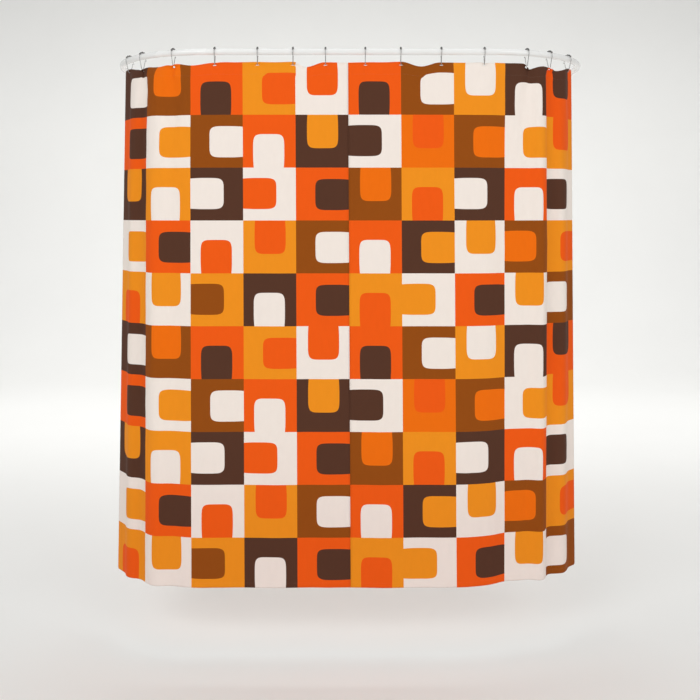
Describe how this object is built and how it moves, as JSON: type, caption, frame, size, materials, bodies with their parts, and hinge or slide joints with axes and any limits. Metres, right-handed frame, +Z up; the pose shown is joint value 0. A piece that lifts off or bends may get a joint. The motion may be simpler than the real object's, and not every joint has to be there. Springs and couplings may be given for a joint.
{
  "type": "shower curtain",
  "caption": "Printed fabric shower curtain hanging spread from roller-ball hooks on a curved wall-mounted rod, with hooks that glide along the rod.",
  "frame": {"origin": "on the wall plane, midway between the two wall flanges, at the height of the rod's centre line", "axes": "+Z up, +Y towards the wall, +X to the right of a person facing the curtain's printed side"},
  "size_m": [1.82, 0.7977, 1.8938],
  "materials": {
    "white_paint": "gloss white paint on steel tube and flanges",
    "printed_cloth": "matte woven polyester, printed on its front face",
    "screw_steel": "plain steel",
    "hook_wire": "polished stainless wire",
    "roller_ball": "polished"
  },
  "bodies": {
    "rod_and_cloth": {"rod": "white_paint", "flange_left": "white_paint", "flange_right": "white_paint", "screw_left_upper": "screw_steel", "screw_left_lower": "screw_steel", "screw_right_upper": "screw_steel", "screw_right_lower": "screw_steel", "fabric_front": "printed_cloth", "fabric_left_return": "printed_cloth", "fabric_right_return": "printed_cloth"},
    "hook_01": {"hook_01_wire": "hook_wire", "hook_01_rollers": "roller_ball"},
    "hook_02": {"hook_02_wire": "hook_wire", "hook_02_rollers": "roller_ball"},
    "hook_03": {"hook_03_wire": "hook_wire", "hook_03_rollers": "roller_ball"},
    "hook_04": {"hook_04_wire": "hook_wire", "hook_04_rollers": "roller_ball"},
    "hook_05": {"hook_05_wire": "hook_wire", "hook_05_rollers": "roller_ball"},
    "hook_06": {"hook_06_wire": "hook_wire", "hook_06_rollers": "roller_ball"},
    "hook_07": {"hook_07_wire": "hook_wire", "hook_07_rollers": "roller_ball"},
    "hook_08": {"hook_08_wire": "hook_wire", "hook_08_rollers": "roller_ball"},
    "hook_09": {"hook_09_wire": "hook_wire", "hook_09_rollers": "roller_ball"},
    "hook_10": {"hook_10_wire": "hook_wire", "hook_10_rollers": "roller_ball"},
    "hook_11": {"hook_11_wire": "hook_wire", "hook_11_rollers": "roller_ball"},
    "hook_12": {"hook_12_wire": "hook_wire", "hook_12_rollers": "roller_ball"},
    "hook_13": {"hook_13_wire": "hook_wire", "hook_13_rollers": "roller_ball"},
    "hook_14": {"hook_14_wire": "hook_wire", "hook_14_rollers": "roller_ball"}
  },
  "joints": [
    {"name": "draw_left", "type": "hinge", "parent": "rod_and_cloth", "child": "hook_01", "pos_m": [-0.49, -0.37, 0], "axis": [0, 0, 1], "range_deg": [0, 28], "deforming": ["fabric_left_return"]},
    {"name": "draw_right", "type": "hinge", "parent": "rod_and_cloth", "child": "hook_14", "pos_m": [0.49, -0.37, 0], "axis": [0, 0, 1], "range_deg": [-28, 0], "deforming": ["fabric_right_return"]},
    {"name": "draw_hook_12", "type": "hinge", "parent": "rod_and_cloth", "child": "hook_12", "pos_m": [0.49, -0.37, 0], "axis": [0, 0, 1], "range_deg": [-10.56, 0]},
    {"name": "draw_hook_13", "type": "hinge", "parent": "rod_and_cloth", "child": "hook_13", "pos_m": [0.49, -0.37, 0], "axis": [0, 0, 1], "range_deg": [-21.83, 0]},
    {"name": "draw_hook_02", "type": "hinge", "parent": "rod_and_cloth", "child": "hook_02", "pos_m": [-0.49, -0.37, 0], "axis": [0, 0, 1], "range_deg": [0, 24.16]},
    {"name": "draw_hook_03", "type": "hinge", "parent": "rod_and_cloth", "child": "hook_03", "pos_m": [-0.49, -0.37, 0], "axis": [0, 0, 1], "range_deg": [0, 9.2]},
    {"name": "glide_hook_04", "type": "slide", "parent": "rod_and_cloth", "child": "hook_04", "axis": [1, 0, 0], "range_m": [-0.005, 0.005]},
    {"name": "glide_hook_05", "type": "slide", "parent": "rod_and_cloth", "child": "hook_05", "axis": [1, 0, 0], "range_m": [-0.005, 0.005]},
    {"name": "glide_hook_06", "type": "slide", "parent": "rod_and_cloth", "child": "hook_06", "axis": [1, 0, 0], "range_m": [-0.005, 0.005]},
    {"name": "glide_hook_07", "type": "slide", "parent": "rod_and_cloth", "child": "hook_07", "axis": [1, 0, 0], "range_m": [-0.005, 0.005]},
    {"name": "glide_hook_08", "type": "slide", "parent": "rod_and_cloth", "child": "hook_08", "axis": [1, 0, 0], "range_m": [-0.005, 0.005]},
    {"name": "glide_hook_09", "type": "slide", "parent": "rod_and_cloth", "child": "hook_09", "axis": [1, 0, 0], "range_m": [-0.005, 0.005]},
    {"name": "glide_hook_10", "type": "slide", "parent": "rod_and_cloth", "child": "hook_10", "axis": [1, 0, 0], "range_m": [-0.005, 0.005]},
    {"name": "glide_hook_11", "type": "slide", "parent": "rod_and_cloth", "child": "hook_11", "axis": [1, 0, 0], "range_m": [-0.005, 0.005]}
  ],
  "couplings": [
    {"joint": "draw_hook_12", "follows": "draw_right", "ratio": 0.3755},
    {"joint": "draw_hook_13", "follows": "draw_right", "ratio": 0.778},
    {"joint": "draw_hook_02", "follows": "draw_left", "ratio": 0.8611},
    {"joint": "draw_hook_03", "follows": "draw_left", "ratio": 0.3268}
  ]
}
